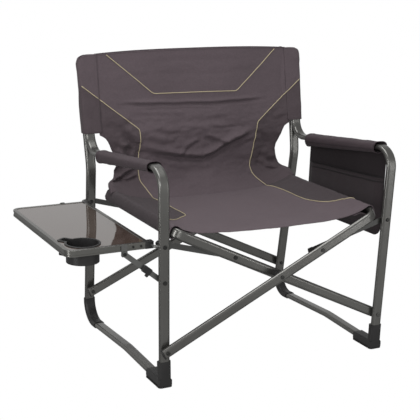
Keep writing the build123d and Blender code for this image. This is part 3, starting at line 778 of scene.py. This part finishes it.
def seat_section():
    """Across the seat: from a stitched flap under one rail, round it, over and round the other."""
    flap = [(262, 431.2), (285, 436.5), (303, 431), (314, 424.5), (324, 420.8), (331.5, 423.0),
            (334.3, 431), (331.5, 443), (326.5, 452.5), (318.5, 457.6), (309, 456.4), (298, 450.6)]
    inner = [(284, 444.6), (264, 438.4), (235, 431.4), (190, 425.6), (140, 422.2), (90, 420.6),
             (45, 419.8), (0, 419.5)]
    right = flap + inner
    left = [(-x, z) for x, z in right[:-1]]
    return left + right[::-1]


# How far the front edge hangs, across the chair
HEM_DROOP = [
    (-303, -1), (-292, -4), (-251, -4), (-176, 1), (53, 1.5), (190, 1), (268, -1), (303, 0),
]
section = even(spline([(x, z, 0) for x, z in seat_section()], 700), 260)
seat_rows = []
SEAT_ROWS = 110
for i in range(SEAT_ROWS + 1):
    v = i / SEAT_ROWS
    row = []
    for x, z, _ in section:
        # Its rail sleeves run on to the rear bends, past the fold up to the back
        sleeve_end = SLEEVE_ENDS[0 if x < 0 else 1]
        rear = mix(SEAT_REAR, sleeve_end, smooth((abs(x) - 290) / 14))
        y = mix(seat_front_y(x), rear, v)
        free = 1 - smooth((abs(x) - 240) / 60)
        dip = 3.5 * math.sin(math.pi * v) * free
        # The cloth droops along its free front edge
        droop = along(HEM_DROOP, x) * (1 - smooth((y - seat_front_y(x)) / 110))
        # Small waves, held flatter over the rails
        wave = 1.3 * ripple(x, y * 0.6, 90, 7.3) + 0.5 * ripple(x * 1.6, y, 26, 1.3)
        if abs(x) >= 300:
            wave *= 0.25
        edge = 0
        if z > 440:
            edge = 1.2 * ripple(y * 1.5, 10, 30, 4.4) * smooth((abs(x) - 250) / 40)
        row.append((x, y, z - dip + droop + wave + edge))
    seat_rows.append(row)

# The piping on the seat, (x, y) from the back to the front
SEAT_LEFT = [
    (-190, 458), (-188, 440), (-181, 349), (-180.5, 243), (-212, 207), (-244, 171), (-300, 110),
    (-325, 85),
]
SEAT_RIGHT = [
    (222, 458), (233, 420), (238, 350), (237, 282), (242, 225), (262, 163), (290, 128), (316, 102),
    (334, 96),
]


def seat_shade(p):
    """Distance into the seat's side panels, behind the front end of its piping. Their colour on
    the seat is painted much darker than on the back, as painted shade.
    """
    x, y = abs(p[0]), p[1]
    line = [(b, abs(a)) for a, b in (SEAT_LEFT if p[0] < 0 else SEAT_RIGHT)]
    if y < min(b for b, _ in line):
        return BESIDE
    away, _ = from_line(line, y, x)
    return math.copysign(min(abs(away), 40), x - along(sorted(line), y))


seat = cloth("seat_sling", seat_rows, seat_shade, lambda p: p[1] - seat_front_y(p[0]))
thicken(seat, SLING)
dress(seat, "seat_fabric")


def seat_top(x, y):
    """Height of the seat's upper face, read from its rows."""
    v = (y - seat_front_y(x)) / (SEAT_REAR - seat_front_y(x))
    row = seat_rows[min(SEAT_ROWS, max(0, round(v * SEAT_ROWS)))]
    return max((p[2] for p in row if abs(p[0] - x) < 2.5), default=0.0)


seat_pipes = []
for name, line in (("seat_piping_left", SEAT_LEFT), ("seat_piping_right", SEAT_RIGHT)):
    fine = even(spline([(x, y, 0) for x, y in line], 120), 100)
    seat_pipes.append(piping(name, [(x, y, seat_top(x, y) + 0.9) for x, y, _ in fine]))

# ---------------------------------------------------------------- arm pads
PAD_START, PAD_END = 44.0, 428.0
PAD_ROWS, PAD_COLUMNS = 80, 48
pads = []
for side in (-1, 1):
    rows = []
    for i in range(PAD_ROWS + 1):
        v = i / PAD_ROWS
        u = mix(PAD_START, PAD_END, v)
        base = arm_z(u)
        # Its two open ends are a little wider
        flare = 2.2 * (1 - smooth(v / 0.04)) + 1.6 * smooth((v - 0.965) / 0.035)
        row = []
        for j in range(PAD_COLUMNS + 1):
            a = 2 * math.pi * j / PAD_COLUMNS + math.radians(200)
            # A soft flat-oval that sags below the tube, with its seam pulled in
            wide, deep = 20.6 + flare, (12.0 if math.sin(a) > 0 else 17.0 + 9 * v) + flare
            n = wide * math.copysign(abs(math.cos(a)) ** 0.8, math.cos(a))
            t = deep * math.copysign(abs(math.sin(a)) ** 0.85, math.sin(a))
            if t > 0:
                t += 0.7
            limp = 0.9 * ripple(a * 30, u, 30, 11 + side) + 0.5 * ripple(a * 60, u * 1.5, 17, 3)
            n += limp * math.cos(a)
            t += limp * math.sin(a)
            if j in (0, PAD_COLUMNS):
                t -= 1.4
            row.append((side * (post_x(base) + n), u + ARM_SLOPE * t, base + t))
        rows.append(row)
    name = "arm_pad_sleeve_left" if side < 0 else "arm_pad_sleeve_right"
    pad = cloth(name, rows, None, lambda p: min(p[1] - PAD_START, PAD_END - p[1]))
    thicken(pad, PAD)
    dress(pad, "pad_fabric")
    pads.append(pad)

# ---------------------------------------------------------------- side pocket
POCKET_LOW = 338.0
POCKET_FRONT, POCKET_REAR = 38.0, 455.0
POCKET_RISE = 7.0                  # of its bottom edge, from the rear to the front
POCKET_CORNER = 34.0               # radius of its front corner
POCKET_ROWS, POCKET_COLUMNS = 60, 80
BINDING_OUT = 19.8                 # the binding's distance outside the side frame


def pocket_floor(u):
    """Bottom of the pocket: round at its front corner, and a little higher there."""
    past = max(0.0, POCKET_FRONT + POCKET_CORNER - u) / POCKET_CORNER
    corner = POCKET_CORNER * (1 - math.sqrt(max(0.0, 1 - past**2)))
    share = (u - POCKET_FRONT) / (POCKET_REAR - POCKET_FRONT)
    return POCKET_LOW + POCKET_RISE * (1 - share) + corner


def pocket_sheet(name, n_of, top_of, finish):
    """A sheet of the pocket: n_of(s, v, u, z) is its distance outside the side frame, at a share
    s of its length and v of its height."""
    rows = []
    for i in range(POCKET_ROWS + 1):
        v = i / POCKET_ROWS
        row = []
        for j in range(POCKET_COLUMNS + 1):
            s = j / POCKET_COLUMNS
            u = mix(POCKET_FRONT, POCKET_REAR, s)
            z = mix(pocket_floor(u), top_of(u), v)
            row.append((post_x(z) + n_of(s, v, u, z), u, z))
        rows.append(row)

    def hem(p):
        return min(top_of(p[1]) - p[2], p[2] - pocket_floor(p[1]),
                   p[1] - POCKET_FRONT, POCKET_REAR - p[1])

    sheet = cloth(name, rows, None, hem)
    thicken(sheet, POCKET, offset=0.0)
    dress(sheet, finish)
    return sheet


def arm_under(u):
    return arm_z(u) - 9.5


def hem_line(u):
    """Height of the inner cloth's top edge."""
    return mix(527, 500, (u - 40) / 420)


def outer_n(s, v, u, z):
    return 20.5 + 1.2 * ripple(u, z, 70, 6.0) - 3.5 * smooth((v - 0.93) / 0.07)


def inner_n(s, v, u, z):
    """Sewn to the outer cloth along its edges, and bellied towards the seat between them."""
    edge = min(1.0, min(s, 1 - s) * 12, v * 8)
    belly = math.sin(math.pi * s) ** 0.5 * smooth(v * 2.2)
    return mix(18.6, 11.0 - 2.0 * belly + 1.6 * ripple(u * 1.2, z, 60, 8.0), smooth(edge))


pocket_back = pocket_sheet("pocket_outer", outer_n, arm_under, "trim_fabric")
pocket_front = pocket_sheet("pocket_inner", inner_n, hem_line, "pocket_fabric")
hems = []
for k, drop in enumerate((0.0, 13.0)):
    line = []
    for j in range(POCKET_COLUMNS + 1):
        s = j / POCKET_COLUMNS
        u = mix(POCKET_FRONT + 2, POCKET_REAR - 2, s)
        z = hem_line(u) - drop
        v = (z - pocket_floor(u)) / (hem_line(u) - pocket_floor(u))
        line.append((post_x(z) + inner_n(s, v, u, z) - 0.8, u, z))
    hem = tube(f"pocket_hem_{k + 1}", line, 1.5)
    dress(hem, "hem_tape")
    hems.append(hem)


def binding_end(u):
    """The binding's upright run at an end of the pocket, from its bottom to its top."""
    levels = (mix(pocket_floor(u), arm_under(u) - 4, k / 40) for k in range(41))
    return [(post_x(z) + BINDING_OUT, u, z) for z in levels]


floor_line = []
for j in range(POCKET_COLUMNS + 1):
    u = mix(POCKET_FRONT, POCKET_REAR, j / POCKET_COLUMNS)
    floor_line.append((post_x(pocket_floor(u)) + BINDING_OUT - 0.3, u, pocket_floor(u)))
binding = tube(
    "pocket_binding",
    binding_end(POCKET_FRONT)[:0:-1] + floor_line + binding_end(POCKET_REAR)[1:], 1.9,
)
dress(binding, "trim_fabric")

# ---------------------------------------------------------------- riding the frame's bodies, and hiding the CAD parts they stand in for
SIDE_FRAMES = ("side_frame_left", "side_frame_right")
for piece in panel_pieces:
    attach(piece, "side_frame_left")
    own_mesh(piece)
for pair in (sleeves, sleeve_pipes):
    for piece, body in zip(pair, SIDE_FRAMES):
        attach(piece, body)
for piece in [seat] + seat_pipes:
    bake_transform(piece)
for piece, body in zip(pads, SIDE_FRAMES):
    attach(piece, body)
for piece in [pocket_back, pocket_front, binding] + hems:
    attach(piece, "side_frame_right")

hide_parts("sling_back")
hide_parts("sling_seat")
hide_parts("arm_pad_left")
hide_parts("arm_pad_right")
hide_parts("side_pocket_outer", "side_pocket_edge")
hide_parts("side_pocket_inner")

# ---------------------------------------------------------------- studio
world = bpy.data.worlds.new("studio")
bpy.context.scene.world = world
world.use_nodes = True
background = world.node_tree.nodes["Background"]
# Plain white behind the chair. What lights it is brighter overhead, before and behind the
# chair, and dim to its sides and below.
sky = Net(world.node_tree)
direction = sky.node("ShaderNodeSeparateXYZ")
sky.link(sky.node("ShaderNodeTexCoord").outputs["Generated"], direction.inputs[0])
overhead = sky.range(direction.outputs[2], 0.0, 0.9, 0.26, 0.42)
behind = sky.range(direction.outputs[1], 0.25, 0.85, 0.0, 0.36)
raised = sky.range(direction.outputs[2], -0.25, 0.1, 0.15, 1.0)
before = sky.range(direction.outputs[1], -0.4, -0.95, 0.0, 0.34)
around = sky.math("ADD", overhead, before)
glow = sky.math("ADD", around, sky.math("MULTIPLY", behind, raised))
seen = sky.node("ShaderNodeLightPath").outputs["Is Camera Ray"]
strength = sky.math("MAXIMUM", glow, seen)
sky.link(strength, background.inputs["Strength"])
background.inputs["Color"].default_value = (1, 1, 1, 1)
bpy.context.scene.view_settings.view_transform = "Standard"


def area_light(name, at, aim, wide, high, watts):
    light = bpy.data.lights.new(name, "AREA")
    light.shape = "RECTANGLE"
    light.energy = watts
    light.size = wide
    light.size_y = high
    obj = bpy.data.objects.new(name, light)
    bpy.context.scene.collection.objects.link(obj)
    at = Vector(at)
    turn = (Vector(aim) - at).to_track_quat("-Z", "Y")
    obj.matrix_world = Matrix.Translation(at) @ turn.to_matrix().to_4x4()


area_light("overhead", (-0.2, -0.2, 3.2), (-0.2, -0.2, 0.0), 1.4, 2.8, 52)
area_light("key", (-1.8, -3.4, 1.9), (0, 0, 0.5), 1.3, 1.3, 31)
area_light("left side", (-3.0, -1.2, 0.8), (0, 0, 0.5), 0.35, 2.6, 36)
area_light("right side", (2.1, -3.0, 0.8), (0, 0, 0.5), 0.3, 2.6, 14)

# ---------------------------------------------------------------- camera
YAW, PITCH, ROLL = 0.4743, 0.2526, 0.0183
FOCAL = 1074.35 / 420              # focal length over the sensor's width
SENSOR = 36.0
EYE = (-1529.6, -2547.4, 1237.4)
forward = Vector((
    math.sin(YAW) * math.cos(PITCH), math.cos(YAW) * math.cos(PITCH), -math.sin(PITCH)
))
level_right = Vector((math.cos(YAW), -math.sin(YAW), 0))
level_up = level_right.cross(forward)
right = math.cos(ROLL) * level_right + math.sin(ROLL) * level_up
up = -math.sin(ROLL) * level_right + math.cos(ROLL) * level_up
camera_data = bpy.data.cameras.new("camera")
camera_data.sensor_width = SENSOR
camera_data.lens = FOCAL * SENSOR
camera_data.clip_end = 60
camera = bpy.data.objects.new("camera", camera_data)
turned = Matrix((right, up, -forward)).transposed().to_4x4()
camera.matrix_world = Matrix.Translation(place(*EYE)) @ turned
bpy.context.scene.collection.objects.link(camera)
bpy.context.scene.camera = camera
